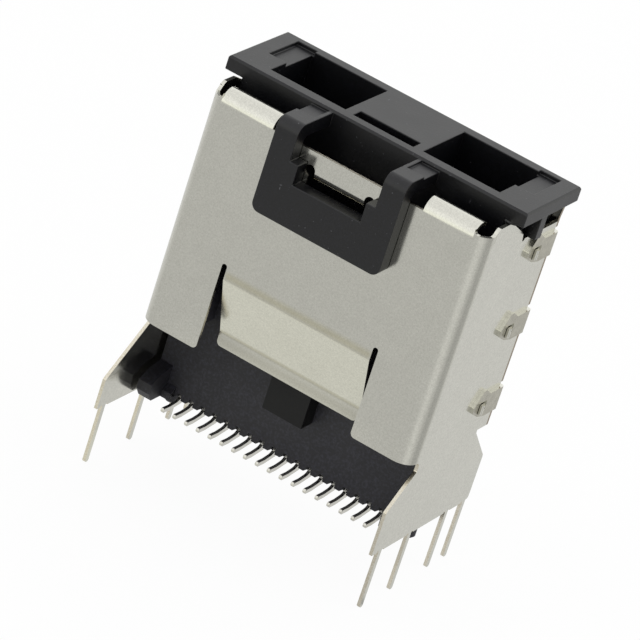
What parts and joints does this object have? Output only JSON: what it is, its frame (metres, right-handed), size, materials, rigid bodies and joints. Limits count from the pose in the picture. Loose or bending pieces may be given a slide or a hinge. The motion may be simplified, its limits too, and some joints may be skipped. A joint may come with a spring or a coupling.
{
  "type": "mini sas receptacle",
  "caption": "Vertical 36-contact mini SAS board receptacle: moulded housing, folded metal shell with latch window and spring tongue, through-board tails, and a black dust cap clipped into its mouth.",
  "frame": {"origin": "on the circuit board's top face, midway between the two rows of contact feet and centred across the shell", "axes": "+Z out of the board towards the plug, -Y towards the latch side, +X to the right in a front view"},
  "size_m": [0.0192, 0.0118, 0.0242],
  "materials": {
    "shell": "satin nickel plate on sheet metal",
    "housing": "blue-black glass-filled moulding",
    "dust_cap": "black moulding with a fine grain",
    "contacts": "bright tin plate"
  },
  "bodies": {
    "root": {"front_shell": "shell", "rear_shell": "shell", "housing": "housing", "dust_cap": "dust_cap", "front_contact_01": "contacts", "front_contact_02": "contacts", "front_contact_03": "contacts", "front_contact_04": "contacts", "front_contact_05": "contacts", "front_contact_06": "contacts", "front_contact_07": "contacts", "front_contact_08": "contacts", "front_contact_09": "contacts", "front_contact_10": "contacts", "front_contact_11": "contacts", "front_contact_12": "contacts", "front_contact_13": "contacts", "front_contact_14": "contacts", "front_contact_15": "contacts", "front_contact_16": "contacts", "front_contact_17": "contacts", "front_contact_18": "contacts", "rear_contact_01": "contacts", "rear_contact_02": "contacts", "rear_contact_03": "contacts", "rear_contact_04": "contacts", "rear_contact_05": "contacts", "rear_contact_06": "contacts", "rear_contact_07": "contacts", "rear_contact_08": "contacts", "rear_contact_09": "contacts", "rear_contact_10": "contacts", "rear_contact_11": "contacts", "rear_contact_12": "contacts", "rear_contact_13": "contacts", "rear_contact_14": "contacts", "rear_contact_15": "contacts", "rear_contact_16": "contacts", "rear_contact_17": "contacts", "rear_contact_18": "contacts"}
  },
  "joints": []
}
